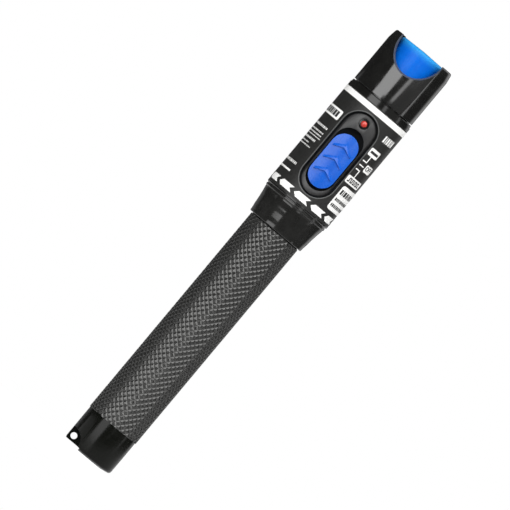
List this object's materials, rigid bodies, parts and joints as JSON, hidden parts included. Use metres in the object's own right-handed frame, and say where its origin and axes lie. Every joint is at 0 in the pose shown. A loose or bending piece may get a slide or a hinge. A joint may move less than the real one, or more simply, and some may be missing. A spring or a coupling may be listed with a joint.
{
  "type": "visual fault locator",
  "caption": "Pen-shaped visual fault locator: knurled battery barrel, flared head with a sliding switch and lamp, and a shrouded ferrule port under a dust cap.",
  "frame": {"origin": "centre of the tail's flat end face, on the surface that the pen stands on", "axes": "+Z along the pen from the tail to the tip, -Y out through the slide switch, -X towards the lanyard eye"},
  "size_m": [0.0256, 0.0267, 0.1759],
  "materials": {
    "barrel": "black anodised, knurled",
    "collar_black": "glossy moulded",
    "gloss_black": "glossy moulded",
    "label_film": "satin printed film",
    "label_ink": "white ink",
    "bezel": "fine satin moulding",
    "knob_blue": "satin moulded",
    "switch_plastic": "moulded",
    "plated_steel": "tin plated",
    "lamp_red": "tinted clear resin",
    "board_green": "solder mask",
    "screw_steel": "zinc plated",
    "chip_black": "moulded epoxy",
    "capacitor_yellow": "moulded epoxy",
    "chassis_black": "fine satin moulding",
    "brass": "turned",
    "gold_plate": "gold plated",
    "lens_glass": "polished",
    "ceramic": "ground zirconia",
    "nickel": "nickel plated, turned",
    "cap_blue": "satin moulded",
    "spring_steel": "drawn wire",
    "contact_plate": "nickel plated strip",
    "cell_sleeve": "printed film over a metal can"
  },
  "bodies": {
    "head": {"coupling_collar": "collar_black", "head_housing": "gloss_black", "port_shroud": "gloss_black", "label_wrap": "label_film", "label_print": "label_ink", "switch_bezel": "bezel", "switch_case": "plated_steel", "indicator_lamp": "lamp_red", "circuit_board": "board_green", "contact_board": "board_green", "board_screws": "screw_steel", "driver_chip": "chip_black", "chip_resistors": "chip_black", "capacitor": "capacitor_yellow", "chassis": "chassis_black", "laser_housing": "brass", "laser_diode": "gold_plate", "focus_lens": "lens_glass", "lens_ring": "brass", "ceramic_sleeve": "ceramic", "ferrule_port": "nickel", "negative_ring": "contact_plate", "positive_contact": "brass"},
    "slider": {"slider_knob": "knob_blue", "switch_lever": "switch_plastic"},
    "cap": {"dust_cap": "cap_blue"},
    "batteries": {"cell_1": "cell_sleeve", "cell_2": "cell_sleeve", "tail_spring": "spring_steel"},
    "barrel": {"barrel": "barrel"}
  },
  "joints": [
    {"name": "switch_slide", "type": "slide", "parent": "head", "child": "slider", "axis": [0, 0, 1], "range_m": [-0.0024, 0.0024]},
    {"name": "cap_pull", "type": "slide", "parent": "head", "child": "cap", "axis": [0, 0, 1], "range_m": [0, 0.04]},
    {"name": "barrel_travel", "type": "slide", "parent": "head", "child": "batteries", "axis": [0, 0, -1], "range_m": [0, 0.006]},
    {"name": "barrel_turn", "type": "hinge", "parent": "batteries", "child": "barrel", "pos_m": [0, 0, 0.05], "axis": [0, 0, -1], "range_deg": [0, 2160]}
  ],
  "couplings": [
    {"joint": "barrel_turn", "follows": "barrel_travel", "rad_per_m": 6283.2}
  ]
}
